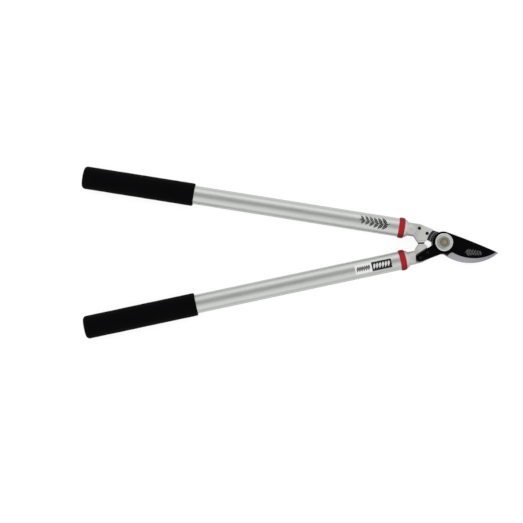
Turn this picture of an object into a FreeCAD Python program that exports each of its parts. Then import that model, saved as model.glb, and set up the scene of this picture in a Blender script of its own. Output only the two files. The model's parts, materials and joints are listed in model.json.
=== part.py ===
import FreeCAD, Part
import math
import os
import re
import Sketcher

# Bypass lopper, shown closed and lying flat.  The geometry is worked out about the pivot:
# x runs along the line that halves the angle between the handles, toward the blade's tip,
# y across it and z up through the pivot bolt, with z = 0 where hook and blade slide on each
# other.  Every placement then moves the tool so that its origin is at the middle of the
# bottom of its bounding box.  Lengths are millimetres and angles are degrees.

Vector = FreeCAD.Vector

DIMENSIONS = {
    # Longer than any part is thick, for cuts that go right through.
    "through": 40.0,
    # Handles: their angle to the x axis and how far each one's axis passes from the pivot.
    "half_angle": 10.6,
    "axis_offset": 12.93,
    # Oval aluminium tube, measured along the handle from the pivot.
    "tube_width": 29.0,
    "tube_depth": 20.0,
    "tube_wall": 1.5,
    "tube_start": 63.42,
    "tube_end": 557.62,
    "fit_gap": 0.05,
    # Red collar over the tube's mouth.
    "collar_width": 32.4,
    "collar_depth": 22.9,
    "collar_start": 63.12,
    "collar_end": 72.12,
    "collar_round": 1.5,
    # Foam grip with a closed outer end.
    "grip_width": 35.4,
    "grip_depth": 27.0,
    "grip_start": 393.12,
    "grip_end": 568.22,
    "grip_bore_end": 559.92,
    "grip_mouth_round": 1.2,
    "grip_end_round": 5.0,
    # Plastic plug in the tube's outer end.
    "plug_depth": 16.0,
    "plug_flange": 2.0,
    # Cast socket: spigot in the tube, shoulder, neck and flat lug.
    "spigot_end": 100.62,
    "shoulder_start": 63.02,
    "shoulder_width": 29.0,
    "shoulder_depth": 19.0,
    "shoulder_mid": 60.22,
    "shoulder_mid_width": 26.4,
    "shoulder_mid_depth": 17.2,
    "neck_start": 56.82,
    "neck_width": 20.8,
    "neck_depth": 15.0,
    "neck_waist": 48.62,
    "neck_waist_depth": 12.6,
    "lug_start": 54.42,
    "neck_end": 40.62,
    "neck_end_width": 15.0,
    "neck_end_depth": 8.0,
    "arm_half_thickness": 5.2,
    "arm_round": 1.0,
    "corner_round": 1.6,
    "neck_outer": 22.66,
    "neck_inner": 4.26,
    "plate_gap": 0.4,
    # Outline of the lug and the stop arm.
    "bend_x": -40.1,
    "bend_y": 30.7,
    "bend_out_x": -32.6,
    "bend_out_y": 28.9,
    "bend_radius": 45.0,
    "lug_corner_angle": 123.8,
    "lug_end_radius": 24.6,
    "lug_nose_radius": 25.4,
    "lug_nose_angle": 165.8,
    "stop_front_x": -29.1,
    "stop_rear_x": -38.8,
    "stop_face": 1.0,
    "stop_step": 3.9,
    "stop_step_depth": 0.6,
    "window_low_x": -43.2,
    "window_low_y": 8.2,
    "window_high_x": -50.6,
    "window_high_y": 13.75,
    "window_radius": 9.0,
    # Corner of the blade's lug, cut back so that it clears the hook when the jaw opens.
    "relief_x": -20.4,
    "relief_low": 30.0,
    "relief_high": 14.5,
    # Retaining pin of the socket, hidden under the collar.
    "pin_distance": 67.52,
    "pin_radius": 2.0,
    "pin_length": 19.6,
    # Rubber bumper on each stop arm.
    "bumper_gap": 0.05,
    "bumper_inset": 0.5,
    "bumper_half_height": 4.4,
    "bumper_stem_radius": 2.3,
    "bumper_stem_start": 0.35,
    "bumper_stem_end": 4.6,
    # Pivot boss that hook and blade share, and their tangs.
    "boss_radius": 17.5,
    "tang_radius": 6.3,
    "tang_inner_angle": 31.4,
    "tang_outer_angle": 19.4,
    "tang_inner_run": 30.0,
    "tang_outer_run": 34.5,
    "seat_gap": 0.15,
    "jaw_root": -10.0,
    # Blade: tang end, outline, ground bevel.
    "shear_gap": 0.1,
    "blade_thickness": 4.0,
    "blade_tang_x": -37.3,
    "blade_tang_y": 22.7,
    "blade_bore": 6.56,
    "edge_radius": 69.3,
    "heel_x": 4.7,
    "heel_y": -21.4,
    "notch_x": 8.0,
    "notch_y": -16.0,
    "tip_edge_x": 82.3,
    "tip_edge_y": -19.8,
    "tip_back_x": 83.4,
    "tip_back_y": -17.4,
    "tip_round": 1.4,
    "back_radius": 1000.0,
    "back_start_angle": 66.5,
    "bevel_radius": 66.0,
    "bevel_start_x": 13.0,
    "bevel_start_y": -15.5,
    "bevel_end_x": 83.0,
    "bevel_end_y": -15.6,
    "bevel_side_x": 8.8,
    "bevel_side_y": -17.0,
    "bevel_foot_x": 3.3,
    "bevel_foot_y": -22.3,
    "bevel_clear": 0.3,
    "edge_land": 0.5,
    "edge_break": 0.25,
    "clear_of_blade": 12.0,
    # Hook: outline, the raised step against its lug, chamfer.
    "hook_thickness": 5.5,
    "hook_tang_x": -37.5,
    "hook_tang_y": 21.5,
    "hook_bore": 5.05,
    "hook_back_radius": 68.7,
    "hook_back_start_x": 0.5,
    "hook_back_start_y": -17.2,
    "hook_tip_back_x": 78.6,
    "hook_tip_back_y": -21.6,
    "hook_tip_edge_x": 77.4,
    "hook_tip_edge_y": -18.6,
    "hook_tip_round": 2.0,
    "hook_edge_radius": 67.2,
    "hook_edge_start_x": 14.0,
    "hook_edge_start_y": -9.2,
    "hook_chamfer": 1.2,
    "step_inner": 20.2,
    "step_outer": 24.3,
    "step_outer_start": 127.5,
    "step_outer_end": 165.7,
    "step_inner_end": 169.3,
    "step_inner_start": 118.7,
    "step_height": 0.6,
    # Rivets that hold each tang on its lug.
    "rear_rivet_x": -36.5,
    "rear_rivet_y": 23.2,
    "front_rivet_x": -24.9,
    "front_rivet_y": 14.9,
    "blade_rivet_shift": -0.6,
    "rivet_radius": 2.0,
    "rivet_hole": 2.05,
    "rivet_head": 2.6,
    "rivet_head_height": 0.8,
    "rivet_head_draft": 0.9,
    "rivet_foot": 3.4,
    "rivet_foot_height": 0.9,
    "rivet_foot_draft": 0.5,
    # Pivot bolt, bush, washers and round nut.
    "bolt_radius": 5.0,
    "bolt_flats": 17.0,
    "bolt_head": 6.4,
    "bolt_end": 9.9,
    "bolt_chamfer": 0.8,
    "bush_radius": 6.5,
    "bush_bore": 5.03,
    "bush_height": 4.2,
    "head_washer_radius": 10.5,
    "friction_washer_radius": 12.8,
    "friction_washer_height": 0.8,
    "nut_radius": 13.7,
    "nut_height": 6.4,
    "nut_crown": 10.9,
    "nut_ring": 9.2,
    "nut_ring_depth": 1.5,
    "nut_dish": 2.2,
    "nut_foot": 0.6,
    "nut_chamfer": 1.3,
    "nut_bore": 5.02,
    "lock_ring_radius": 6.6,
    "lock_ring_height": 1.7,
    # Distance from the middle of the whole length to the pivot, measured further down.
    "pivot_x": 0.0,
}

# Two lengths closer than TOUCH are the same; a corner is found within NEAR of its place.
TOUCH = 1e-4
NEAR = 0.01

doc = FreeCAD.newDocument("BypassLopper")
sheet = doc.addObject("Spreadsheet::Sheet", "Dims")


def fill_sheet():
    """Write every driving dimension into its own named cell."""
    for row, (name, value) in enumerate(DIMENSIONS.items(), start=1):
        sheet.set(f"A{row}", name)
        sheet.set(f"B{row}", str(value))
        sheet.setAlias(f"B{row}", name)
    doc.recompute()


def bound(text):
    """Turn the dimension names in an expression into references to the sheet."""
    return re.sub(
        r"[a-z_]+",
        lambda word: "Dims." + word.group() if word.group() in DIMENSIONS else word.group(),
        text,
    )


def size(text):
    """Present value of an expression of dimension names."""
    return float(sheet.evalExpression(bound(text)))


def bind(item, **expressions):
    """Bind properties of an object to expressions of dimension names."""
    for name, text in expressions.items():
        item.setExpression(name, bound(text))


# ---------------------------------------------------------------- placements

def new_body(label):
    body = doc.addObject("PartDesign::Body", label)
    body.Label = label
    return body


def place_on_pivot(body, x="0", y="0"):
    """Stand a sub-part that is drawn about the pivot where the finished tool has it."""
    body.setExpression("Placement.Base.x", bound(f"pivot_x + ({x})"))
    body.setExpression("Placement.Base.y", bound(y))
    body.setExpression("Placement.Base.z", bound("grip_depth / 2"))


def place_on_handle(body, side):
    """Lay a sub-part drawn along its handle (+X away from the pivot) on one handle.

    The lower handle is the upper one turned half a turn about the x axis."""
    place_on_pivot(body)
    if side == "upper":
        body.Placement.Rotation = FreeCAD.Rotation(Vector(0, 0, 1), size("180 - half_angle"))
        body.setExpression("Placement.Rotation.Angle", bound("180 - half_angle"))
        return
    turn = math.radians(size("90 - half_angle / 2"))
    axis = Vector(math.cos(turn), -math.sin(turn), 0)
    body.Placement.Rotation = FreeCAD.Rotation(axis, 180)
    body.setExpression("Placement.Rotation.Axis.x", bound("cos(90 - half_angle / 2)"))
    body.setExpression("Placement.Rotation.Axis.y", bound("-sin(90 - half_angle / 2)"))


# ------------------------------------------------------------------ sketches

def new_sketch(body, name, plane, height="0"):
    """Sketch on one of the body's origin planes, raised along the plane's normal."""
    sketch = body.newObject("Sketcher::SketchObject", name)
    support = next(item for item in body.Origin.OriginFeatures if item.Role == plane)
    sketch.AttachmentSupport = (support, [""])
    sketch.MapMode = "FlatFace"
    sketch.setExpression("AttachmentOffset.Base.z", bound(height))
    return sketch


def pivot_sketch(body, name, height="0"):
    """Flat sketch in the pivot's own x and y, on a body that is drawn along its handle."""
    sketch = new_sketch(body, name, "XY_Plane", height)
    turn = FreeCAD.Rotation(Vector(0, 0, 1), size("half_angle - 180"))
    sketch.AttachmentOffset = FreeCAD.Placement(Vector(0, 0, size(height)), turn)
    sketch.setExpression("AttachmentOffset.Rotation.Angle", bound("half_angle - 180"))
    return sketch


def pin(sketch, geometry, point, x, y):
    """Hold one point of a sketch at a pair of expressions."""
    for kind, text in (("DistanceX", x), ("DistanceY", y)):
        constraint = Sketcher.Constraint(kind, -1, 1, geometry, point, size(text))
        number = sketch.addConstraint(constraint)
        sketch.setExpression(f"Constraints[{number}]", bound(text))


def hold_radius(sketch, geometry, text):
    number = sketch.addConstraint(Sketcher.Constraint("Radius", geometry, size(text)))
    sketch.setExpression(f"Constraints[{number}]", bound(text))


def circle(sketch, x, y, radius):
    centre = Vector(size(x), size(y), 0)
    number = sketch.addGeometry(Part.Circle(centre, Vector(0, 0, 1), size(radius)), False)
    pin(sketch, number, 3, x, y)
    hold_radius(sketch, number, radius)


def ellipse(sketch, x, y, width, depth):
    """Ellipse with its width along the sketch's horizontal axis."""
    centre = Vector(size(x), size(y), 0)
    shape = Part.Ellipse(centre, size(width) / 2, size(depth) / 2)
    number = sketch.addGeometry(shape, False)
    sketch.exposeInternalGeometry(number)
    sketch.addConstraint(Sketcher.Constraint("Horizontal", number + 1))
    for axis, text in ((number + 1, width), (number + 2, depth)):
        constraint = sketch.addConstraint(Sketcher.Constraint("Distance", axis, size(text)))
        sketch.setExpression(f"Constraints[{constraint}]", bound(text))
    pin(sketch, number, 3, x, y)


def arc_between(first, last, radius, turn):
    """Arc from first to last; turn is +1 when it runs anticlockwise, -1 when clockwise."""
    chord = last - first
    left = Vector(-chord.y, chord.x, 0) / chord.Length
    rise = math.sqrt(radius ** 2 - chord.Length ** 2 / 4)
    centre = (first + last) / 2 + left * rise * turn
    begin, finish = (first, last) if turn > 0 else (last, first)
    start_angle = math.atan2(begin.y - centre.y, begin.x - centre.x)
    end_angle = math.atan2(finish.y - centre.y, finish.x - centre.x)
    if end_angle < start_angle:
        end_angle += 2 * math.pi
    return Part.ArcOfCircle(Part.Circle(centre, Vector(0, 0, 1), radius), start_angle, end_angle)


def outline(sketch, corners, rounds=None):
    """Closed outline through corners, each a pair of expressions.

    rounds maps the number of a run to (radius, turn) where that run is an arc."""
    rounds = rounds or {}
    points = [Vector(size(x), size(y), 0) for x, y in corners]
    ends = []
    for number, (x, y) in enumerate(corners):
        first, last = points[number], points[(number + 1) % len(points)]
        if number in rounds:
            radius, turn = rounds[number]
            geometry = sketch.addGeometry(arc_between(first, last, size(radius), turn), False)
            start, finish = (1, 2) if turn > 0 else (2, 1)
            hold_radius(sketch, geometry, radius)
        else:
            geometry = sketch.addGeometry(Part.LineSegment(first, last), False)
            start, finish = 1, 2
        ends.append((geometry, start, finish))
    for number, (geometry, start, finish) in enumerate(ends):
        follower, follower_start, _ = ends[(number + 1) % len(ends)]
        join = Sketcher.Constraint("Coincident", geometry, finish, follower, follower_start)
        sketch.addConstraint(join)
        pin(sketch, geometry, start, *corners[number])


# ------------------------------------------------------------------ features

def add_feature(body, kind, name, sketch, **expressions):
    feature = body.newObject("PartDesign::" + kind, name)
    feature.Profile = sketch
    bind(feature, **expressions)
    sketch.Visibility = False
    return feature


def cut_feature(body, kind, name, sketch, **expressions):
    """Cut a pocket or groove and make sure that it took something away."""
    doc.recompute()
    before = body.Shape.Volume
    feature = add_feature(body, kind, name, sketch, **expressions)
    doc.recompute()
    if body.Shape.Volume > before - TOUCH:
        raise RuntimeError(f"{body.Label}: {name} cut nothing")
    return feature


def turn_about_axis(body, kind, name, sketch, axis):
    """Full turn of a half profile about an axis of its sketch."""
    feature = body.newObject("PartDesign::" + kind, name)
    feature.Profile = sketch
    feature.ReferenceAxis = (sketch, [axis])
    feature.Angle = 360
    return feature


def dress(body, kind, name, wanted, **expressions):
    """Fillet or chamfer the edges of the body's tip that the test wanted picks."""
    doc.recompute()
    base = body.Tip
    edges = [f"Edge{number}" for number, edge in enumerate(base.Shape.Edges, start=1)
             if wanted(edge)]
    if not edges:
        raise RuntimeError(f"{body.Label}: {name} found no edge")
    feature = body.newObject("PartDesign::" + kind, name)
    feature.Base = (base, edges)
    bind(feature, **expressions)
    return feature


def loft(body, kind, name, sections):
    feature = body.newObject("PartDesign::" + kind, name)
    feature.Profile = sections[0]
    feature.Sections = sections[1:]
    feature.Ruled = True
    return feature


def flat_at(edge, height):
    """True for an edge that lies in the plane z = height."""
    box = edge.BoundBox
    return abs(box.ZMin - height) < TOUCH and abs(box.ZMax - height) < TOUCH


def upright_at(edge, x, y):
    """True for an upright straight edge at a point."""
    box = edge.BoundBox
    upright = box.ZLength > NEAR and box.XLength < TOUCH and box.YLength < TOUCH
    return upright and math.hypot(box.XMin - x, box.YMin - y) < NEAR


def ring_at(edge, distance):
    """True for an edge that lies in the plane x = distance along the handle."""
    box = edge.BoundBox
    return abs(box.XMin - distance) < TOUCH and abs(box.XMax - distance) < TOUCH


# ------------------------------------------------------------- handle pieces

def oval_section(body, name, distance, width, depth):
    """Oval across the handle's axis at a distance from the pivot."""
    sketch = new_sketch(body, name, "YZ_Plane", distance)
    ellipse(sketch, "-axis_offset", "0", width, depth)
    return sketch


def oval_pad(body, name, start, end, width, depth):
    sketch = oval_section(body, name + "Section", start, width, depth)
    return add_feature(body, "Pad", name, sketch, Length=f"({end}) - ({start})")


def oval_pocket(body, name, start, end, width, depth):
    """Oval hollow; the pocket runs back toward the pivot from its far end."""
    sketch = oval_section(body, name + "Section", end, width, depth)
    return cut_feature(body, "Pocket", name, sketch, Length=f"({end}) - ({start})")


def pin_hole(body, name):
    """Cross hole for the retaining pin, through tube wall or spigot."""
    sketch = new_sketch(body, name + "Circle", "XY_Plane", "tube_depth")
    circle(sketch, "pin_distance", "-axis_offset", "pin_radius + fit_gap / 2")
    cut_feature(body, "Pocket", name, sketch, Length="2 * tube_depth")


def make_tube(side):
    body = new_body(f"tube_{side}")
    oval_pad(body, "Wall", "tube_start", "tube_end", "tube_width", "tube_depth")
    oval_pocket(body, "Bore", "tube_start - 1", "tube_end + 1",
                "tube_width - 2 * tube_wall", "tube_depth - 2 * tube_wall")
    pin_hole(body, "PinHole")
    place_on_handle(body, side)
    return body


def make_collar(side):
    body = new_body(f"collar_{side}")
    oval_pad(body, "Ring", "collar_start", "collar_end", "collar_width", "collar_depth")
    dress(body, "Fillet", "RoundRims", lambda edge: edge.BoundBox.XLength < TOUCH,
          Radius="collar_round")
    oval_pocket(body, "Bore", "collar_start - 1", "collar_end + 1",
                "tube_width + 2 * fit_gap", "tube_depth + 2 * fit_gap")
    place_on_handle(body, side)
    return body


def make_grip(side):
    body = new_body(f"grip_{side}")
    oval_pad(body, "Sleeve", "grip_start", "grip_end", "grip_width", "grip_depth")
    dress(body, "Fillet", "RoundEnd", lambda edge: ring_at(edge, size("grip_end")),
          Radius="grip_end_round")
    dress(body, "Fillet", "RoundMouth", lambda edge: ring_at(edge, size("grip_start")),
          Radius="grip_mouth_round")
    oval_pocket(body, "Bore", "grip_start - 1", "grip_bore_end",
                "tube_width + 2 * fit_gap", "tube_depth + 2 * fit_gap")
    place_on_handle(body, side)
    return body


def make_end_plug(side):
    body = new_body(f"end_plug_{side}")
    oval_pad(body, "Stem", "tube_end - plug_depth", "tube_end",
             "tube_width - 2 * tube_wall - 2 * fit_gap",
             "tube_depth - 2 * tube_wall - 2 * fit_gap")
    oval_pad(body, "Flange", "tube_end", "tube_end + plug_flange", "tube_width", "tube_depth")
    place_on_handle(body, side)
    return body


def make_socket_pin(side):
    body = new_body(f"socket_pin_{side}")
    sketch = new_sketch(body, "Circle", "XY_Plane", "-pin_length / 2")
    circle(sketch, "pin_distance", "-axis_offset", "pin_radius")
    add_feature(body, "Pad", "Pin", sketch, Length="pin_length")
    place_on_handle(body, side)
    return body


def along_handle(distance, height):
    """Pivot-frame x and y of a point at a distance along the handle and a height across it."""
    x = f"-({distance}) * cos(half_angle) + ({height}) * sin(half_angle)"
    y = f"({distance}) * sin(half_angle) + ({height}) * cos(half_angle)"
    return x, y


def about_pivot(radius, angle):
    return f"({radius}) * cos({angle})", f"({radius}) * sin({angle})"


def lug_outline(sketch):
    """Plan of neck, lug and stop arm, anticlockwise from the stop face's rear end."""
    corners = [
        ("stop_rear_x", "stop_face"),
        ("stop_front_x", "stop_face"),
        about_pivot("lug_nose_radius", "lug_nose_angle"),
        about_pivot("lug_end_radius", "lug_corner_angle"),
        ("bend_out_x", "bend_out_y"),
        ("bend_x", "bend_y"),
        along_handle("shoulder_start - plate_gap", "neck_outer"),
        along_handle("shoulder_start - plate_gap", "neck_inner"),
        ("window_high_x", "window_high_y"),
        ("window_low_x", "window_low_y"),
    ]
    rounds = {
        2: ("lug_end_radius", -1),
        4: ("bend_radius", 1),
        8: ("window_radius", -1),
    }
    outline(sketch, corners, rounds)


def round_the_neck(body):
    """Cut the plate down to the neck's oval between the lug's flat and the shoulder."""
    around = oval_section(body, "NeckCut", "shoulder_start", "neck_width", "neck_depth")
    near, far = "-axis_offset - through", "-axis_offset + through"
    outline(around, [(near, "-through"), (far, "-through"), (far, "through"), (near, "through")])
    cut_feature(body, "Pocket", "NeckRound", around, Length="shoulder_start - lug_start")


def is_lug_corner(edge):
    """True for the upright edges at the sharp corners of the lug and the stop arm."""
    back = math.radians(size("half_angle - 180"))
    corners = [("stop_rear_x", "stop_face"), ("stop_front_x", "stop_face"),
               ("window_low_x", "window_low_y"),
               about_pivot("lug_nose_radius", "lug_nose_angle"),
               about_pivot("lug_end_radius", "lug_corner_angle")]
    for x_text, y_text in corners:
        x, y = size(x_text), size(y_text)
        turned_x = x * math.cos(back) - y * math.sin(back)
        turned_y = x * math.sin(back) + y * math.cos(back)
        if upright_at(edge, turned_x, turned_y):
            return True
    return False


def tang_seat(sketch):
    """Region of the lug's underside that the tang fills, open toward pivot and outer edge."""
    inner = "tang_inner_angle"
    reach = "tang_radius + seat_gap"
    corners = [
        (f"hook_tang_x - ({reach}) * sin({inner}) + through * cos({inner})",
         f"hook_tang_y - ({reach}) * cos({inner}) - through * sin({inner})"),
        ("0", "through"),
        ("hook_tang_x", "hook_tang_y + through"),
        (f"hook_tang_x - ({reach})", "hook_tang_y + through"),
        (f"hook_tang_x - ({reach})", "hook_tang_y"),
        (f"hook_tang_x - ({reach}) * sin({inner})", f"hook_tang_y - ({reach}) * cos({inner})"),
    ]
    outline(sketch, corners, {4: (reach, 1)})


def bumper_stem(sketch, start, end, radius):
    """Half profile of the bumper's round stem, with the turning axis as its first line."""
    middle = "(stop_front_x + stop_rear_x) / 2"
    corners = [(middle, start), (f"{middle} + {radius}", start), (f"{middle} + {radius}", end),
               (middle, end)]
    outline(sketch, corners)
    top = Vector(size(middle), size(end), 0)
    base = Vector(size(middle), size(start), 0)
    axis = sketch.addGeometry(Part.LineSegment(base, top), True)
    pin(sketch, axis, 1, middle, start)
    pin(sketch, axis, 2, middle, end)


def rivet_holes(body, name, sketch, shift="0"):
    """Clearance holes of both rivets; the blade's sit a little nearer to the x axis."""
    for end in ("rear", "front"):
        circle(sketch, f"{end}_rivet_x", f"{end}_rivet_y + {shift}", "rivet_hole")
    cut_feature(body, "Pocket", name, sketch, Length="through")


def step_the_stop(body):
    """Thin the stop arm a little beside its face, above and below."""
    faces = {"StopStepTop": "arm_half_thickness", "StopStepFoot": "stop_step_depth - arm_half_thickness"}
    for name, height in faces.items():
        plan = pivot_sketch(body, name + "Plan", height)
        rear, front = "stop_rear_x - stop_step", "stop_front_x + stop_step"
        outline(plan, [(rear, "0"), (front, "0"), (front, "stop_step"), (rear, "stop_step")])
        cut_feature(body, "Pocket", name, plan, Length="stop_step_depth")


def make_socket(side):
    """Die-cast connector: one pattern for both handles, the blade's with a relieved corner."""
    body = new_body(f"socket_{side}")
    plate = pivot_sketch(body, "LugPlan", "-arm_half_thickness")
    lug_outline(plate)
    add_feature(body, "Pad", "LugPlate", plate, Length="2 * arm_half_thickness")
    dress(body, "Fillet", "RoundCorners", is_lug_corner, Radius="corner_round")
    half = size("arm_half_thickness")
    dress(body, "Fillet", "RoundPlate", lambda edge: flat_at(edge, half) or flat_at(edge, -half),
          Radius="arm_round")
    round_the_neck(body)
    sections = [
        oval_section(body, "ShoulderTop", "shoulder_start", "shoulder_width", "shoulder_depth"),
        oval_section(body, "ShoulderMiddle", "shoulder_mid", "shoulder_mid_width",
                     "shoulder_mid_depth"),
        oval_section(body, "ShoulderFoot", "neck_start", "neck_width", "neck_depth"),
    ]
    loft(body, "AdditiveLoft", "Shoulder", sections)
    neck = [
        oval_section(body, "NeckTop", "neck_start", "neck_width", "neck_depth"),
        oval_section(body, "NeckWaist", "neck_waist", "neck_width", "neck_waist_depth"),
        oval_section(body, "NeckEnd", "neck_end", "neck_end_width", "neck_end_depth"),
    ]
    loft(body, "AdditiveLoft", "Neck", neck)
    oval_pad(body, "Spigot", "shoulder_start", "spigot_end",
             "tube_width - 2 * tube_wall - 2 * fit_gap",
             "tube_depth - 2 * tube_wall - 2 * fit_gap")
    seat = pivot_sketch(body, "TangSeatPlan")
    tang_seat(seat)
    cut_feature(body, "Pocket", "TangSeat", seat, Length="2 * neck_depth")
    stem = pivot_sketch(body, "StemHoleHalf")
    bumper_stem(stem, "bumper_stem_start", "bumper_stem_end + fit_gap",
                "bumper_stem_radius + fit_gap")
    turn_about_axis(body, "Groove", "StemHole", stem, "Axis0")
    step_the_stop(body)
    holes = pivot_sketch(body, "RivetCircles", "through / 2")
    rivet_holes(body, "RivetHoles", holes, "0" if side == "upper" else "blade_rivet_shift")
    pin_hole(body, "PinHole")
    if side == "lower":
        relief = pivot_sketch(body, "ReliefPlan", "through / 2")
        corners = [("relief_x", "relief_high"), ("0", "relief_high"), ("0", "relief_low"),
                   ("relief_x", "relief_low")]
        outline(relief, corners)
        cut_feature(body, "Pocket", "Relief", relief, Length="through")
    place_on_handle(body, side)
    return body


def make_bumper(side):
    body = new_body(f"bumper_{side}")
    plan = pivot_sketch(body, "PadPlan", "-bumper_half_height")
    rear = "stop_rear_x + bumper_inset"
    front = "stop_front_x - bumper_inset"
    outline(plan, [(rear, "bumper_gap"), (front, "bumper_gap"), (front, "stop_face"),
                   (rear, "stop_face")])
    add_feature(body, "Pad", "Pad", plan, Length="2 * bumper_half_height")
    stem = pivot_sketch(body, "StemHalf")
    bumper_stem(stem, "bumper_stem_start", "bumper_stem_end", "bumper_stem_radius")
    turn_about_axis(body, "Revolution", "Stem", stem, "Axis0")
    place_on_handle(body, side)
    return body


# --------------------------------------------------------------- cutting head

def head_sketch(body, name, height):
    return new_sketch(body, name, "XY_Plane", height)


def add_boss_and_tang(body, bottom, thickness, side):
    """Round boss about the pivot and the tapering tang; side is +1 above the x axis."""
    disc = head_sketch(body, "BossCircle", bottom)
    circle(disc, "0", "0", "boss_radius")
    add_feature(body, "Pad", "Boss", disc, Length=thickness)
    name = "hook" if side > 0 else "blade"
    inner, outer = "tang_inner_angle", "tang_outer_angle"
    inner_x = f"{name}_tang_x - tang_radius * sin({inner})"
    inner_y = f"{name}_tang_y - tang_radius * cos({inner})"
    outer_x = f"{name}_tang_x + tang_radius * sin({outer})"
    outer_y = f"{name}_tang_y + tang_radius * cos({outer})"
    points = [
        (inner_x, inner_y),
        (f"{inner_x} + tang_inner_run * cos({inner})",
         f"{inner_y} - tang_inner_run * sin({inner})"),
        (f"{outer_x} + tang_outer_run * cos({outer})",
         f"{outer_y} - tang_outer_run * sin({outer})"),
        (outer_x, outer_y),
    ]
    corners = [(x, y if side > 0 else f"-({y})") for x, y in points]
    plan = head_sketch(body, "TangPlan", bottom)
    outline(plan, corners, {3: ("tang_radius", side)})
    add_feature(body, "Pad", "Tang", plan, Length=thickness)


def make_hook():
    body = new_body("hook")
    bottom = "-hook_thickness"
    add_boss_and_tang(body, bottom, "hook_thickness", 1)
    plan = head_sketch(body, "JawPlan", bottom)
    corners = [
        ("0", "jaw_root"),
        ("hook_back_start_x", "hook_back_start_y"),
        ("hook_tip_back_x", "hook_tip_back_y"),
        ("hook_tip_edge_x", "hook_tip_edge_y"),
        ("hook_edge_start_x", "hook_edge_start_y"),
    ]
    rounds = {1: ("hook_back_radius", 1), 2: ("hook_tip_round", 1), 3: ("hook_edge_radius", -1)}
    outline(plan, corners, rounds)
    add_feature(body, "Pad", "Jaw", plan, Length="hook_thickness")
    foot = size(bottom)
    dress(body, "Chamfer", "BackChamfer", lambda edge: flat_at(edge, foot) and is_jaw_edge(edge),
          Size="hook_chamfer")
    step = head_sketch(body, "StepPlan", "0")
    corners = [about_pivot("step_outer", "step_outer_start"),
               about_pivot("step_outer", "step_outer_end"),
               about_pivot("step_inner", "step_inner_end"),
               about_pivot("step_inner", "step_inner_start")]
    outline(step, corners, {0: ("step_outer", 1), 2: ("step_inner", -1)})
    add_feature(body, "Pad", "Step", step, Length="step_height")
    bore = head_sketch(body, "BoreCircle", "through / 2")
    circle(bore, "0", "0", "hook_bore")
    cut_feature(body, "Pocket", "Bore", bore, Length="through")
    rivet_holes(body, "RivetHoles", head_sketch(body, "RivetCircles", "through / 2"))
    place_on_pivot(body)
    return body


def is_jaw_edge(edge):
    """True for the long round edges of a jaw, in front of the boss."""
    box = edge.BoundBox
    return box.XMax > size("1.3 * boss_radius") and box.XLength > size("boss_radius")


def add_bevel(body, bottom):
    """Grind the upper face away from the bevel's inner line down to the cutting edge."""
    top = f"{bottom} + blade_thickness"
    land = f"{bottom} + edge_land"
    low = "-through"
    far = "tip_back_x + clear_of_blade"
    upper = head_sketch(body, "BevelUpper", top)
    outline(upper, [
        ("bevel_start_x", "bevel_start_y"), ("bevel_side_x", "bevel_side_y"),
        ("bevel_foot_x", "bevel_foot_y"), ("bevel_foot_x", low), (far, low),
        (far, "bevel_end_y"), ("bevel_end_x", "bevel_end_y"),
    ], {6: ("bevel_radius", -1)})
    lower = head_sketch(body, "BevelLower", land)
    outline(lower, [
        ("heel_x", "heel_y"), ("heel_x - bevel_clear", "heel_y - bevel_clear"),
        ("bevel_foot_x", "bevel_foot_y - 2 * bevel_clear"), ("bevel_foot_x", low), (far, low),
        (far, "tip_edge_y"), ("tip_edge_x", "tip_edge_y"),
    ], {6: ("edge_radius", -1)})
    doc.recompute()
    before = body.Shape.Volume
    loft(body, "SubtractiveLoft", "Bevel", [upper, lower])
    doc.recompute()
    if body.Shape.Volume > before - TOUCH:
        raise RuntimeError("the bevel cut nothing")


def off_bevel(edge):
    """True for an edge of the blade that the ground bevel doesn't touch."""
    box = edge.BoundBox
    return box.XMax < 0 or box.YMax > size("bevel_start_y + edge_break")


def make_blade():
    body = new_body("blade")
    bottom = "shear_gap"
    add_boss_and_tang(body, bottom, "blade_thickness", -1)
    plan = head_sketch(body, "JawPlan", bottom)
    corners = [
        ("notch_x", "notch_y"),
        ("heel_x", "heel_y"),
        ("tip_edge_x", "tip_edge_y"),
        ("tip_back_x", "tip_back_y"),
        about_pivot("boss_radius", "back_start_angle"),
        ("0", "0"),
    ]
    rounds = {1: ("edge_radius", 1), 2: ("tip_round", 1), 3: ("back_radius", 1)}
    outline(plan, corners, rounds)
    add_feature(body, "Pad", "Jaw", plan, Length="blade_thickness")
    add_bevel(body, bottom)
    top = size(f"{bottom} + blade_thickness")
    dress(body, "Chamfer", "EdgeBreak", lambda edge: flat_at(edge, top) and off_bevel(edge),
          Size="edge_break")
    bore = head_sketch(body, "BoreCircle", "through / 2")
    circle(bore, "0", "0", "blade_bore")
    cut_feature(body, "Pocket", "Bore", bore, Length="through")
    holes = head_sketch(body, "RivetCircles", "through / 2")
    for end in ("rear", "front"):
        circle(holes, f"{end}_rivet_x", f"-({end}_rivet_y + blade_rivet_shift)", "rivet_hole")
    cut_feature(body, "Pocket", "RivetHoles", holes, Length="through")
    place_on_pivot(body)
    return body


# ------------------------------------------------------------- turned pieces

def make_turned(label, profile, rounds=None):
    """Solid of revolution about z; profile is a list of (radius, height) expressions."""
    body = new_body(label)
    sketch = new_sketch(body, "HalfProfile", "XZ_Plane")
    outline(sketch, profile, rounds)
    turn_about_axis(body, "Revolution", "Turned", sketch, "V_Axis")
    return body


def make_ring(label, bore, radius, start, end):
    body = make_turned(label, [(bore, start), (radius, start), (radius, end), (bore, end)])
    place_on_pivot(body)
    return body


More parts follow.
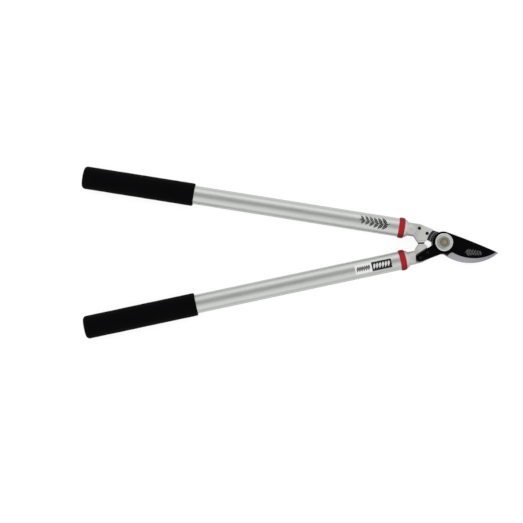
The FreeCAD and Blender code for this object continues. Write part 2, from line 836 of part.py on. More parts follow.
def make_rivet(label, end, tool, shift, low, high):
    """Round rivet from under one plate to over the other; tool is +1 for the hook's pair."""
    body = make_turned(label, [
        ("0", f"{low} - rivet_foot_height"),
        ("rivet_foot - rivet_foot_draft", f"{low} - rivet_foot_height"),
        ("rivet_foot", f"{low}"),
        ("rivet_radius", f"{low}"),
        ("rivet_radius", f"{high}"),
        ("rivet_head", f"{high}"),
        ("rivet_head - rivet_head_draft", f"{high} + rivet_head_height"),
        ("0", f"{high} + rivet_head_height"),
    ])
    across = f"{end}_rivet_y + {shift}"
    place_on_pivot(body, f"{end}_rivet_x", across if tool > 0 else f"-({across})")
    return body


def make_bolt():
    under_head = "-hook_thickness - (grip_depth / 2 - hook_thickness - bolt_head)"
    bottom = "-grip_depth / 2"
    body = make_turned("pivot_bolt", [
        ("0", bottom), ("bolt_radius", bottom), ("bolt_radius", "bolt_end - bolt_chamfer"),
        ("bolt_radius - bolt_chamfer", "bolt_end"), ("0", "bolt_end"),
    ])
    hexagon = new_sketch(body, "Hexagon", "XY_Plane", bottom)
    corner = "bolt_flats / 2 / cos(30)"
    outline(hexagon, [about_pivot(corner, str(60 * turn)) for turn in range(6)])
    add_feature(body, "Pad", "Head", hexagon, Length=f"({under_head}) - ({bottom})")
    place_on_pivot(body)
    return body


def make_nut():
    base = "bush_height + friction_washer_height"
    top = f"{base} + nut_height"
    seat = f"{top} - nut_dish"
    body = make_turned("pivot_nut", [
        ("nut_bore", base),
        ("nut_radius - nut_foot", base),
        ("nut_radius", f"{base} + nut_foot"),
        ("nut_radius", f"{top} - nut_chamfer"),
        ("nut_radius - nut_chamfer", top),
        ("nut_crown", top),
        ("nut_ring", f"{top} - nut_ring_depth"),
        ("lock_ring_radius", seat),
        ("lock_ring_radius", f"{seat} - lock_ring_height"),
        ("nut_bore", f"{seat} - lock_ring_height"),
    ], {3: ("nut_chamfer", 1)})
    place_on_pivot(body)
    return body


def make_head_hardware():
    """Everything that the pivot bolt holds together."""
    nut_top = "bush_height + friction_washer_height + nut_height"
    seat = f"{nut_top} - nut_dish"
    return [
        make_bolt(),
        make_nut(),
        make_ring("lock_ring", "nut_bore", "lock_ring_radius - fit_gap",
                  f"{seat} - lock_ring_height", seat),
        make_ring("friction_washer", "nut_bore", "friction_washer_radius", "bush_height",
                  "bush_height + friction_washer_height"),
        make_ring("pivot_bush", "bush_bore", "bush_radius", "0", "bush_height"),
        make_ring("head_washer", "nut_bore", "head_washer_radius",
                  "bolt_head - grip_depth / 2", "-hook_thickness"),
    ]


def make_rivets():
    """Two rivets through each lug and its tang; each pair is one group of separate solids."""
    blade_top = "shear_gap + blade_thickness"
    fixings = {
        "hook_rivets": (1, "0", "-hook_thickness", "arm_half_thickness"),
        "blade_rivets": (-1, "blade_rivet_shift", "-arm_half_thickness", blade_top),
    }
    groups = []
    for label, (tool, shift, low, high) in fixings.items():
        group = doc.addObject("Part::Compound", label)
        group.Label = label
        group.Links = [make_rivet(f"{label}_{end}", end, tool, shift, low, high)
                       for end in ("rear", "front")]
        groups.append(group)
    return groups


# ------------------------------------------------------------------ document

def build():
    fill_sheet()
    pieces = [make_hook(), make_blade()]
    for side in ("upper", "lower"):
        for maker in (make_tube, make_collar, make_grip, make_end_plug, make_socket,
                      make_socket_pin, make_bumper):
            pieces.append(maker(side))
    pieces += make_rivets()
    pieces += make_head_hardware()
    doc.recompute()
    return pieces


def centre_on_length(pieces):
    """Move the tool so that its length is halved by the origin, through the sheet."""
    boxes = [piece.Shape.optimalBoundingBox(False, False) for piece in pieces]
    low = min(box.XMin for box in boxes)
    high = max(box.XMax for box in boxes)
    row = list(DIMENSIONS).index("pivot_x") + 1
    sheet.set(f"B{row}", str(round(-(low + high) / 2, 6)))
    doc.recompute()


def check(pieces):
    """Stop if anything in the document failed or a sub-part is not sound.

    A sub-part is one solid, except a group, which has one for each piece in it."""
    for item in doc.Objects:
        if any(word in item.State for word in ("Invalid", "Error")):
            raise RuntimeError(f"{item.Label}: {item.State}")
    for piece in pieces:
        shape = piece.Shape
        wanted = len(piece.Links) if piece.TypeId == "Part::Compound" else 1
        if shape.isNull() or not shape.isValid() or len(shape.Solids) != wanted:
            raise RuntimeError(f"{piece.Label}: not {wanted} valid solid(s)")


def write(pieces):
    os.makedirs("parts", exist_ok=True)
    for piece in pieces:
        piece.Shape.exportStep(f"parts/{piece.Label}.step")
        box = piece.Shape.optimalBoundingBox(False, False)
        print(f"{piece.Label:20s} {piece.Shape.Volume:10.0f} mm3  x {box.XMin:8.1f} {box.XMax:8.1f}"
              f"  y {box.YMin:7.1f} {box.YMax:7.1f}  z {box.ZMin:6.2f} {box.ZMax:6.2f}")


pieces = build()
centre_on_length(pieces)
check(pieces)
write(pieces)
print(f"pivot_x = {size('pivot_x')}")
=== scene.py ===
import json
import math

import bpy
import bmesh
from mathutils import Euler, Matrix, Vector, noise

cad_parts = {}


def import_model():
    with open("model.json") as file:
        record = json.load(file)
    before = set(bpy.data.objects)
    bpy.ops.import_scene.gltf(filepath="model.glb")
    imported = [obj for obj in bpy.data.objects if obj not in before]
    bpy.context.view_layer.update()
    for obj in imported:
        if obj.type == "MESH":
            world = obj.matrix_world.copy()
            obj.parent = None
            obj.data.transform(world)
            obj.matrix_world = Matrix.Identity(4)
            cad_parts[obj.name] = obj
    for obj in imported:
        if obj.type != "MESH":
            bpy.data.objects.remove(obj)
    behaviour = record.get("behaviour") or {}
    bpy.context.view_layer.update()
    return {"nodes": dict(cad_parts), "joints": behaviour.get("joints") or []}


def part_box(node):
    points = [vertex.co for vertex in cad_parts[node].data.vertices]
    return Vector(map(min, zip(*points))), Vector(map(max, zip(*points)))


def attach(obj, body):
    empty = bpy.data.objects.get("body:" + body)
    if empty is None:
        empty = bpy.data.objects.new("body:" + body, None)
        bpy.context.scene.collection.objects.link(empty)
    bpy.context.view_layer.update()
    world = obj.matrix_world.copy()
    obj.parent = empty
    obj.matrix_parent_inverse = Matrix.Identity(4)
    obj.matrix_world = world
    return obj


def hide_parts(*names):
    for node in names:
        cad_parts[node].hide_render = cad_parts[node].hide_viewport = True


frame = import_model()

# Lengths on the tool are in mm, and are multiplied by MM where Blender needs metres. The stage's lengths
# are in metres.
MM = 0.001
PER_METRE = 1000.0
NODES = frame["nodes"]
PIVOT = Vector(frame["joints"][0]["pos_m"])

# Each handle leans away from the X axis by this angle, and its own axis passes the pivot at this distance.
HALF_ANGLE = math.radians(10.6)
AXIS_OFFSET = 12.93
# The handle on the +Y side is the upper one.
SIDES = {"upper": 1.0, "lower": -1.0}
BODY = {"upper": "hook_handle", "lower": "blade_handle"}


# ---------------------------------------------------------------------------
# Places
# ---------------------------------------------------------------------------

def handle_frame(side):
    """A handle's own frame: X runs along it to the grip, Z is up, and the origin is on its axis."""
    sign = SIDES[side]
    along = Vector((-math.cos(HALF_ANGLE), sign * math.sin(HALF_ANGLE), 0.0))
    outward = Vector((math.sin(HALF_ANGLE), sign * math.cos(HALF_ANGLE), 0.0))
    up = Vector((0.0, 0.0, 1.0))
    across = up.cross(along)
    axes = Matrix((along, across, up)).transposed().to_4x4()
    return Matrix.Translation(PIVOT + AXIS_OFFSET * MM * outward) @ axes


def local_box(node, place):
    """Lowest and highest corners of a CAD node in another frame."""
    back = place.inverted()
    points = [back @ vertex.co for vertex in NODES[node].data.vertices]
    low = Vector([min(point[axis] for point in points) for axis in range(3)])
    high = Vector([max(point[axis] for point in points) for axis in range(3)])
    return low, high


HANDLE = {side: handle_frame(side) for side in SIDES}
PIVOT_FRAME = Matrix.Translation(PIVOT)


# ---------------------------------------------------------------------------
# Materials
# ---------------------------------------------------------------------------

# Where Blender's Mix node takes a factor and two colours, and where it gives a colour.
MIX_INPUTS = (0, 6, 7)
MIX_OUTPUT = 2


class Recipe:
    """One procedural material: a Principled shader and the nodes that feed it, measured in mm.

    The colour given is the surface's plain tint, which paint and vary cover with a pattern.
    """

    def __init__(self, name, colour, roughness, metallic=0.0, place=None, **sockets):
        self.material = bpy.data.materials.new(name)
        self.material.use_nodes = True
        self.tree = self.material.node_tree
        self.shader = self.tree.nodes["Principled BSDF"]
        self.colour = (*colour, 1.0)
        self.shader.inputs["Base Color"].default_value = self.colour
        self.shader.inputs["Roughness"].default_value = roughness
        self.shader.inputs["Metallic"].default_value = metallic
        for socket, value in sockets.items():
            self.shader.inputs[socket.replace("_", " ")].default_value = value
        self.height = None
        self.coords = self.mapped(place or Matrix.Identity(4))

    def add(self, kind, **settings):
        """A new shader node of the kind named."""
        node = self.tree.nodes.new("ShaderNode" + kind)
        for key, value in settings.items():
            setattr(node, key, value)
        return node

    def feed(self, socket, value):
        """Puts a number, a colour or another node's output into a socket."""
        if isinstance(value, bpy.types.NodeSocket):
            self.tree.links.new(value, socket)
        else:
            socket.default_value = value

    def mapped(self, place):
        """Object coordinates in mm, in the frame called place."""
        back = place.inverted()
        node = self.add("Mapping")
        node.inputs["Scale"].default_value = (PER_METRE,) * 3
        node.inputs["Rotation"].default_value = back.to_euler()
        node.inputs["Location"].default_value = back.translation * PER_METRE
        self.tree.links.new(self.add("TexCoord").outputs["Object"], node.inputs["Vector"])
        return node.outputs["Vector"]

    def stretched(self, scale):
        """The coordinates multiplied along each axis."""
        node = self.add("VectorMath", operation="MULTIPLY")
        self.feed(node.inputs[0], self.coords)
        node.inputs[1].default_value = scale
        return node.outputs["Vector"]

    def noise(self, per_mm, detail=3.0, coords=None, rough=0.5):
        """Cloudy noise from 0 to 1, with per_mm clouds in a mm."""
        node = self.add("TexNoise")
        self.feed(node.inputs["Vector"], coords or self.coords)
        node.inputs["Scale"].default_value = per_mm
        node.inputs["Detail"].default_value = detail
        node.inputs["Roughness"].default_value = rough
        return node.outputs["Fac"]

    def cells(self, per_mm):
        """Distance from the nearest of many scattered points, with per_mm points along a mm."""
        node = self.add("TexVoronoi")
        self.feed(node.inputs["Vector"], self.coords)
        node.inputs["Scale"].default_value = per_mm
        return node.outputs["Distance"]

    def span(self, value, low, high, to_low=0.0, to_high=1.0):
        """Maps low..high to to_low..to_high, clamped."""
        node = self.add("MapRange")
        self.feed(node.inputs["Value"], value)
        for key, number in (("From Min", low), ("From Max", high), ("To Min", to_low), ("To Max", to_high)):
            node.inputs[key].default_value = number
        return node.outputs["Result"]

    def maths(self, operation, first, second=0.0):
        """The result of one operation on one or two numbers."""
        node = self.add("Math", operation=operation)
        self.feed(node.inputs[0], first)
        self.feed(node.inputs[1], second)
        return node.outputs["Value"]

    def mix(self, factor, first, second):
        """A colour between first and second."""
        node = self.add("Mix", data_type="RGBA")
        for socket, value in zip(MIX_INPUTS, (factor, first, second)):
            if isinstance(value, tuple) and len(value) == 3:
                value = (*value, 1.0)
            self.feed(node.inputs[socket], value)
        return node.outputs[MIX_OUTPUT]

    def split(self, vector):
        """The three parts of a vector."""
        node = self.add("SeparateXYZ")
        self.feed(node.inputs[0], vector)
        return node.outputs["X"], node.outputs["Y"], node.outputs["Z"]

    def apart(self, value, middle):
        """How far a number is from the middle, either way."""
        return self.maths("ABSOLUTE", self.maths("SUBTRACT", value, middle))

    def radius(self):
        """Distance from the Z axis of the recipe's frame, in mm."""
        flat = self.stretched((1.0, 1.0, 0.0))
        node = self.add("VectorMath", operation="LENGTH")
        self.feed(node.inputs[0], flat)
        return node.outputs["Value"]

    def shaded(self, colour, factor):
        """A colour multiplied by a number."""
        grey = self.add("CombineXYZ")
        for socket in grey.inputs:
            self.feed(socket, factor)
        node = self.add("VectorMath", operation="MULTIPLY")
        self.feed(node.inputs[0], colour)
        self.feed(node.inputs[1], grey.outputs[0])
        return node.outputs["Vector"]

    def rings(self, pitch):
        """Waves round the Z axis, one for each pitch in mm."""
        return self.maths("SINE", self.maths("MULTIPLY", self.radius(), 2.0 * math.pi / pitch))

    def normal_z(self):
        """How far the surface faces up, from -1 to 1."""
        return self.split(self.add("NewGeometry").outputs["Normal"])[2]

    def painted_flank_shade(self, low, high, deepest):
        """Painted shade: a number that falls from 1 on top to deepest on surfaces that turn down toward the
        sides.
        """
        return self.span(self.normal_z(), low, high, deepest, 1.0)

    def paint(self, colour):
        """Lets a node's colour take the place of the plain tint."""
        self.tree.links.new(colour, self.shader.inputs["Base Color"])

    def vary(self, factor, darker, lighter):
        """Paints the plain tint between a darker and a lighter shade of itself."""
        tint = [tuple(channel * shade for channel in self.colour[:3]) for shade in (darker, lighter)]
        self.paint(self.mix(factor, *tint))

    def gloss(self, value):
        """Lets a node's number take the place of the plain roughness."""
        self.tree.links.new(value, self.shader.inputs["Roughness"])

    def emboss(self, height, depth_mm):
        """Adds one more layer of relief to the surface."""
        node = self.add("Bump")
        node.inputs["Distance"].default_value = depth_mm * MM
        self.feed(node.inputs["Height"], height)
        if self.height is not None:
            self.tree.links.new(self.height, node.inputs["Normal"])
        self.height = node.outputs["Normal"]
        self.tree.links.new(self.height, self.shader.inputs["Normal"])


def plain(name, colour, roughness, metallic=0.0, grain=1.2, depth=0.02, spread=0.12, **sockets):
    """A machined or moulded surface with a fine grain and a slight unevenness in colour and gloss."""
    made = Recipe(name, colour, roughness, metallic, **sockets)
    patches = made.noise(0.12, detail=4.0)
    made.vary(patches, 1.0 - spread, 1.0 + spread)
    fine = made.noise(grain, detail=4.0)
    made.gloss(made.span(fine, 0.3, 0.7, roughness * 0.85, roughness * 1.15))
    made.emboss(fine, depth)
    return made.material


def anodised(side):
    """Satin anodised tube with fine lines from the drawing die, and painted shade on its sides where the
    surface turns down.
    """
    made = Recipe("anodised_" + side, (0.61, 0.62, 0.61), 0.30, 1.0, HANDLE[side])
    drawn = made.noise(1.6, detail=4.0, coords=made.stretched((0.02, 1.0, 1.0)))
    cloud = made.noise(0.03, detail=3.0)
    blend = made.maths("MULTIPLY", made.maths("ADD", drawn, cloud), 0.5)
    silver = made.mix(blend, (0.565, 0.577, 0.565), (0.638, 0.653, 0.638))
    # Painted shade: the silver is darkened on the tube's sides, where its surface turns down.
    made.paint(made.shaded(silver, made.painted_flank_shade(0.35, 0.86, 0.74)))
    made.gloss(made.span(drawn, 0.3, 0.7, 0.26, 0.36))
    made.emboss(drawn, 0.012)
    return made.material


# The step beside each stop: its distance from the X axis, and how far back from the pivot it reaches. A
# broken line of painted shade runs along it.
STOP_STEP_LINE = 4.1
STOP_STEP_REACH = -41.0
# The casting's colour is painted darkest, as painted shade, at this distance from the pivot, stays so for the
# first of the other two lengths to either side, and is painted lightest, as a painted highlight, from the
# second one on.
NECK_MIDDLE = 50.0
NECK_SHADE_REACH = 5.0
NECK_HIGHLIGHT_FROM = 13.0


def cast_lacquer():
    """Lacquered casting, painted darker round the neck and lighter away from it as painted shade and
    highlight, with painted shade along the steps beside the stops and on surfaces that turn down.
    """
    made = Recipe("cast_lacquer", (0.6, 0.6, 0.58), 0.38, 0.7, PIVOT_FRAME)
    skin = made.noise(0.9, detail=5.0, rough=0.6)
    fleck = made.noise(6.0, detail=2.0)
    colour = made.mix(made.maths("MULTIPLY", skin, fleck), (0.55, 0.55, 0.53), (0.77, 0.77, 0.74))
    along, across = made.split(made.coords)[:2]
    # Painted shade: a broken dark line along the step beside each stop, reaching back from the pivot as far
    # as STOP_STEP_REACH.
    beside = made.apart(made.maths("ABSOLUTE", across), STOP_STEP_LINE)
    shade_dashes = made.span(skin, 0.35, 0.6, 0.5, 1.0)
    line = made.maths("MULTIPLY", made.span(beside, 0.15, 0.75, 1.0, 0.0), shade_dashes)
    step_shade = made.maths("MULTIPLY", line, made.maths("GREATER_THAN", along, STOP_STEP_REACH))
    # Painted shade: the step line together with darkening on surfaces that turn down toward the sides.
    painted_shade = made.maths("MULTIPLY", made.span(step_shade, 0.0, 1.0, 1.0, 0.45), made.painted_flank_shade(0.3, 0.93, 0.45))
    # Painted shade round the neck and a painted highlight beyond it, by distance from the pivot.
    away = made.apart(made.radius(), NECK_MIDDLE)
    painted_neck_light = made.span(away, NECK_SHADE_REACH, NECK_HIGHLIGHT_FROM, 0.92, 1.12)
    made.paint(made.shaded(colour, made.maths("MULTIPLY", painted_shade, painted_neck_light)))
    made.gloss(made.span(skin, 0.3, 0.7, 0.36, 0.48))
    made.emboss(skin, 0.05)
    made.emboss(fleck, 0.008)
    return made.material


def red_plastic():
    """Moulded red plastic, with painted shade on the rounded rims and wherever the surface turns away from
    straight up.
    """
    made = Recipe("red_plastic", (0.42, 0.006, 0.010), 0.34, Specular_IOR_Level=0.15)
    skin = made.noise(2.5, detail=3.0)
    red = made.mix(made.noise(0.3), (0.43, 0.009, 0.012), (0.51, 0.012, 0.016))
    # Painted shade: the red darkens where the surface turns down, most on the rims.
    made.paint(made.shaded(red, made.painted_flank_shade(0.55, 0.99, 0.3)))
    made.gloss(made.span(skin, 0.3, 0.7, 0.26, 0.38))
    made.emboss(skin, 0.01)
    return made.material


def foam():
    """Closed-cell foam: a matt skin with sub-millimetre pores, darkened inside as painted shade, and a faint
    unevenness.
    """
    made = Recipe("grip_foam", (0.0026, 0.0026, 0.0033), 0.6, Specular_IOR_Level=0.035)
    cells = made.cells(1.1)
    pores = made.span(cells, 0.12, 0.42)
    fine = made.noise(2.4, detail=4.0, rough=0.65)
    broad = made.noise(0.05, detail=2.0)
    skin = made.mix(made.maths("MULTIPLY", fine, made.maths("ADD", broad, 0.5)),
                    (0.0004, 0.0004, 0.0006), (0.0024, 0.0024, 0.0032))
    # Painted shade: the colour darkens toward the middle of each pore.
    made.paint(made.shaded(skin, made.span(pores, 0.0, 1.0, 0.25, 1.1)))
    made.gloss(made.span(fine, 0.3, 0.7, 0.5, 0.7))
    made.emboss(pores, 0.16)
    made.emboss(fine, 0.10)
    return made.material


# The bare bevel is what lies below the blade's flat top by more than this, and faces up more than this.
BEVEL_DROP = 0.02
BEVEL_FACING = 0.3


def blade_coating():
    """Black low-friction coating, with the bevel ground bare along the cutting edge."""
    made = Recipe("blade_coating", (0.006, 0.006, 0.007), 0.42, place=PIVOT_FRAME, Specular_IOR_Level=0.03)
    top = (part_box("blade")[1].z - PIVOT.z) / MM
    height = made.split(made.coords)[2]
    tilted = made.maths("GREATER_THAN", made.normal_z(), BEVEL_FACING)
    ground = made.maths("MULTIPLY", made.maths("LESS_THAN", height, top - BEVEL_DROP), tilted)
    skin = made.noise(2.0, detail=4.0)
    lines = made.noise(3.0, detail=3.0, coords=made.stretched((1.0, 0.05, 1.0)))
    steel = made.mix(lines, (0.28, 0.28, 0.31), (0.43, 0.43, 0.46))
    coat = made.mix(skin, (0.0005, 0.0005, 0.0008), (0.0022, 0.0022, 0.0028))
    made.paint(made.mix(ground, coat, steel))
    made.feed(made.shader.inputs["Metallic"], ground)
    made.gloss(made.maths("ADD", made.span(skin, 0.3, 0.7, 0.36, 0.5), made.maths("MULTIPLY", ground, -0.08)))
    made.emboss(skin, 0.01)
    made.emboss(made.maths("MULTIPLY", lines, ground), 0.01)
    return made.material


# The edge of the hook's step, as a radius about the pivot.
HOOK_STEP_RADIUS = 20.4


def hook_coating():
    """Dark grey coating, with a painted highlight along the step beside the lug."""
    made = Recipe("hook_coating", (0.045, 0.041, 0.052), 0.42, 0.6, PIVOT_FRAME)
    skin = made.noise(1.2, detail=4.0)
    away = made.apart(made.radius(), HOOK_STEP_RADIUS)
    upward = made.maths("GREATER_THAN", made.normal_z(), 0.0)
    # Painted highlight: a light line on upward faces at the step's radius.
    step_highlight = made.maths("MULTIPLY", made.span(away, 0.25, 0.7, 1.0, 0.0), upward)
    coat = made.mix(skin, (0.028, 0.025, 0.034), (0.048, 0.043, 0.054))
    made.paint(made.mix(step_highlight, coat, (0.26, 0.25, 0.28)))
    made.gloss(made.span(skin, 0.3, 0.7, 0.36, 0.5))
    made.emboss(skin, 0.02)
    return made.material


# Distance from one of a lathe's rings to the next, on the washer and in the nut's dish.
WASHER_PITCH = 0.45
DISH_PITCH = 1.3


def turned(name, colour, roughness):
    """Bright metal with the fine rings that a lathe leaves around the pivot."""
    made = Recipe(name, colour, roughness, 1.0, PIVOT_FRAME)
    patches = made.noise(0.25, detail=3.0)
    made.vary(patches, 0.88, 1.08)
    made.gloss(made.span(made.noise(3.0), 0.3, 0.7, roughness * 0.85, roughness * 1.2))
    made.emboss(made.rings(WASHER_PITCH), 0.003)
    return made.material


# The edge of the nut's dish, as a radius about the pivot, and half the width of its soft border.
DISH_RADIUS = 9.3
DISH_BORDER = 0.4


def nut_finish():
    """Plated nut: a bright rim round a rougher dish that is painted darker as painted shade, with faint
    rings.
    """
    made = Recipe("nut_zinc", (0.7, 0.72, 0.69), 0.27, 1.0, PIVOT_FRAME)
    rim = made.span(made.radius(), DISH_RADIUS - DISH_BORDER, DISH_RADIUS + DISH_BORDER)
    patches = made.noise(0.25, detail=3.0)
    # Painted shade: the dish inside the rim is given a much darker colour.
    dish = made.mix(patches, (0.22, 0.225, 0.19), (0.34, 0.35, 0.30))
    bright = made.mix(patches, (0.68, 0.70, 0.68), (0.78, 0.80, 0.78))
    made.paint(made.mix(rim, dish, bright))
    made.gloss(made.span(rim, 0.0, 1.0, 0.36, 0.24))
    made.emboss(made.rings(DISH_PITCH), 0.012)
    made.emboss(made.noise(3.0), 0.004)
    return made.material


# Where the bolt's end is most yellow and brightest, from the pivot, and the radii between which that fades:
# the yellow passivation tint with a painted highlight set off the middle.
WARM_HIGHLIGHT_SPOT = Vector((2.2, 0.2, 0.0))
WARM_FROM, WARM_TO = 1.4, 4.6


def bolt_finish():
    """Yellow-passivated zinc, with a brighter yellow painted highlight beside the middle of the bolt's end.
    """
    spot = PIVOT_FRAME @ Matrix.Translation(WARM_HIGHLIGHT_SPOT * MM)
    made = Recipe("bolt_zinc", (0.6, 0.42, 0.27), 0.36, 1.0, spot)
    patches = made.noise(0.5, detail=3.0)
    # Painted highlight: the yellow tint is lighter round a spot off the middle and darker away from it.
    warm_tint_and_highlight = made.mix(patches, (0.46, 0.30, 0.18), (0.56, 0.375, 0.235))
    dull = made.mix(patches, (0.26, 0.24, 0.185), (0.36, 0.33, 0.265))
    made.paint(made.mix(made.span(made.radius(), WARM_FROM, WARM_TO), warm_tint_and_highlight, dull))
    fine = made.noise(1.6, detail=4.0)
    made.gloss(made.span(fine, 0.3, 0.7, 0.30, 0.42))
    made.emboss(fine, 0.01)
    return made.material


def dress(node, material):
    """Gives a CAD node one material all over."""
    slots = NODES[node].data.materials
    slots.clear()
    slots.append(material)


def dress_frame():
    """Dresses every CAD node, replaced ones too, and returns the materials that the new pieces need."""
    zinc = plain("pin_zinc", (0.55, 0.56, 0.56), 0.34, 1.0, grain=2.0, depth=0.01)
    oxide = plain("black_oxide", (0.004, 0.004, 0.0045), 0.4, grain=2.2, depth=0.015, Specular_IOR_Level=0.12)
    plug = plain("plug_plastic", (0.02, 0.02, 0.021), 0.55, grain=1.5)
    rubber = plain("bumper_rubber", (0.010, 0.010, 0.011), 0.7, grain=2.5, depth=0.03, Specular_IOR_Level=0.3)
    acetal = plain("washer_acetal", (0.03, 0.03, 0.032), 0.4, grain=2.0)
    nylon = plain("nylon", (0.18, 0.17, 0.125), 0.5, grain=1.6)
    bronze = plain("sintered_bronze", (0.55, 0.38, 0.18), 0.45, 1.0, grain=4.0, depth=0.03)
    cast = cast_lacquer()
    red = red_plastic()
    for side in SIDES:
        dress("tube_" + side, anodised(side))
        dress("collar_" + side, red)
        dress("end_plug_" + side, plug)
        dress("socket_" + side, cast)
        dress("socket_pin_" + side, zinc)
        dress("bumper_" + side, rubber)
        dress("grip_" + side, plug)
    for node in ("hook_rivets", "blade_rivets"):
        dress(node, oxide)
    dress("hook", hook_coating())
    dress("blade", blade_coating())
    dress("pivot_bolt", bolt_finish())
    dress("pivot_nut", nut_finish())
    dress("head_washer", turned("washer_zinc", (0.6, 0.61, 0.6), 0.3))
    dress("lock_ring", nylon)
    dress("friction_washer", acetal)
    dress("pivot_bush", bronze)
    return {"foam": foam(), "cast": cast, "red": red}


# ---------------------------------------------------------------------------
# Meshes
# ---------------------------------------------------------------------------

def make_object(name, vertices, faces, material, smooth=True):
    """A new object in the scene, with its faces turned outward."""
    mesh = bpy.data.meshes.new(name)
    mesh.from_pydata([tuple(v) for v in vertices], [], faces)
    mesh.validate()
    form = bmesh.new()
    form.from_mesh(mesh)
    bmesh.ops.recalc_face_normals(form, faces=form.faces)
    form.to_mesh(mesh)
    form.free()
    mesh.materials.append(material)
    for polygon in mesh.polygons:
        polygon.use_smooth = smooth
    made = bpy.data.objects.new(name, mesh)
    bpy.context.scene.collection.objects.link(made)
    return made


# Points round a grip or a collar.
OVAL_POINTS = 112


def ring_faces(first, second, count):
    """Quads between two rings of vertices."""
    return [
        (first + k, first + (k + 1) % count, second + (k + 1) % count, second + k)
        for k in range(count)
    ]


def oval(x, radius_y, radius_z):
    """Points round an oval across a handle, in the handle's frame."""
    points = []
    for k in range(OVAL_POINTS):
        turn = 2.0 * math.pi * k / OVAL_POINTS
        points.append(Vector((x, radius_y * math.cos(turn), radius_z * math.sin(turn))))
    return points


def oval_outward(point, radius_y, radius_z):
    """Direction out of an oval at one of its points."""
    return Vector((0.0, point.y / radius_y ** 2, point.z / radius_z ** 2)).normalized()


def skin_over(ovals, place, joined):
    """Vertices and faces over a row of ovals: joined from last to first, or capped at both ends."""
    vertices = [place @ point for points in ovals for point in points]
    firsts = [OVAL_POINTS * k for k in range(len(ovals))]
    following = firsts[1:] + firsts[:1] if joined else firsts[1:]
    faces = []
    for first, second in zip(firsts, following):
        faces += ring_faces(first, second, OVAL_POINTS)
    if not joined:
        faces += [tuple(range(first, first + OVAL_POINTS)) for first in (firsts[0], firsts[-1])]
    return vertices, faces


# The foam grip: how far each side stands out past the CAD solid, its play round the tube, and the gap
# past the tube's end.
GRIP_EXTRA = 0.2
GRIP_PLAY = 0.02
GRIP_END_GAP = 1.0
# The bore's mouth: how far in its narrow part starts, and the opened rim's place and width.
BORE_START = 1.0
BORE_RIM = 0.3
BORE_OPENING = 0.25
# The bore's closed end is a small oval this share of its full width.
BORE_TIP = 0.02
# Roundings of the mouth and of the outer end, the length of one step between them, and their steps.
MOUTH_ROUND = 2.3
END_ROUND = 6.0
GRIP_STEP = 1.6
MOUTH_STEPS = 6
END_STEPS = 10
# Steps over the flat outer end from its edge to its middle, and how far in the middle lies.
CAP_STEPS = 9
CAP_DISH = 0.1
# Unevenness of the skin: size and height of its swellings and of its dimples, and how far it is sunk.
SWELL_SIZE, SWELL_HEIGHT = 14.0, 0.16
DIMPLE_SIZE, DIMPLE_HEIGHT = 2.2, 0.035
SKIN_SUNK = 0.12


def foam_skin(x, radius_y, radius_z):
    """An oval of the grip's outside, swelling and dimpled."""
    points = oval(x, radius_y, radius_z)
    for point in points:
        swell = noise.fractal(point / (SWELL_SIZE * MM), 0.9, 2.0, 3) * SWELL_HEIGHT * MM
        dimple = noise.noise(point / (DIMPLE_SIZE * MM)) * DIMPLE_HEIGHT * MM
        point += oval_outward(point, radius_y, radius_z) * (swell + dimple - SKIN_SUNK * MM)
    return points


def grip_stations(start, end):
    """Stations along a grip's outside: where each is, and how far the skin is drawn in there."""
    mouth, tip = MOUTH_ROUND * MM, END_ROUND * MM
    stations = []
    for k in range(MOUTH_STEPS, -1, -1):
        turn = math.pi / 2.0 * k / MOUTH_STEPS
        stations.append((start + mouth * (1.0 - math.sin(turn)), mouth * (1.0 - math.cos(turn))))
    straight = end - tip - (start + mouth)
    steps = round(straight / (GRIP_STEP * MM))
    for k in range(1, steps):
        stations.append((start + mouth + straight * k / steps, 0.0))
    for k in range(END_STEPS + 1):
        turn = math.pi / 2.0 * k / END_STEPS
        stations.append((end - tip * (1.0 - math.sin(turn)), tip * (1.0 - math.cos(turn))))
    return stations


def foam_grip(side, material):
    """A foam sleeve with a closed round end, pushed on over the tube."""
    place = HANDLE[side]
    low, high = local_box("grip_" + side, place)
    tube_high = local_box("tube_" + side, place)[1]
    half_y, half_z = high.y + GRIP_EXTRA * MM, high.z
    bore_y, bore_z = tube_high.y + GRIP_PLAY * MM, tube_high.z + GRIP_PLAY * MM
    bore_end = tube_high.x + GRIP_END_GAP * MM
    opening = BORE_OPENING * MM
    ovals = [
        oval(bore_end, bore_y * BORE_TIP, bore_z * BORE_TIP),
        oval(bore_end, bore_y, bore_z),
        oval(low.x + BORE_START * MM, bore_y, bore_z),
        oval(low.x + BORE_RIM * MM, bore_y + opening, bore_z + opening),
    ]
    ovals += [foam_skin(x, half_y - drawn, half_z - drawn) for x, drawn in grip_stations(low.x, high.x)]
    last_y, last_z = half_y - END_ROUND * MM, half_z - END_ROUND * MM
    for k in range(1, CAP_STEPS):
        shrink = 1.0 - k / CAP_STEPS
        ovals.append(oval(high.x - CAP_DISH * MM * (1.0 - shrink), last_y * shrink, last_z * shrink))
    vertices, faces = skin_over(ovals, place, joined=False)
    made = make_object("foam_grip_" + side, vertices, faces, material)
    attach(made, BODY[side])
    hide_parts("grip_" + side)


# The collar: its play round the tube, the height of its rims, and where along it the crown stands.
COLLAR_PLAY = 0.05
COLLAR_LIP = 0.2
COLLAR_CROWN = 0.56
# Steps from a rim to the crown, and the power of that curve, which below 1 is fuller than an ellipse.
COLLAR_STEPS = 14
COLLAR_FULLNESS = 0.95


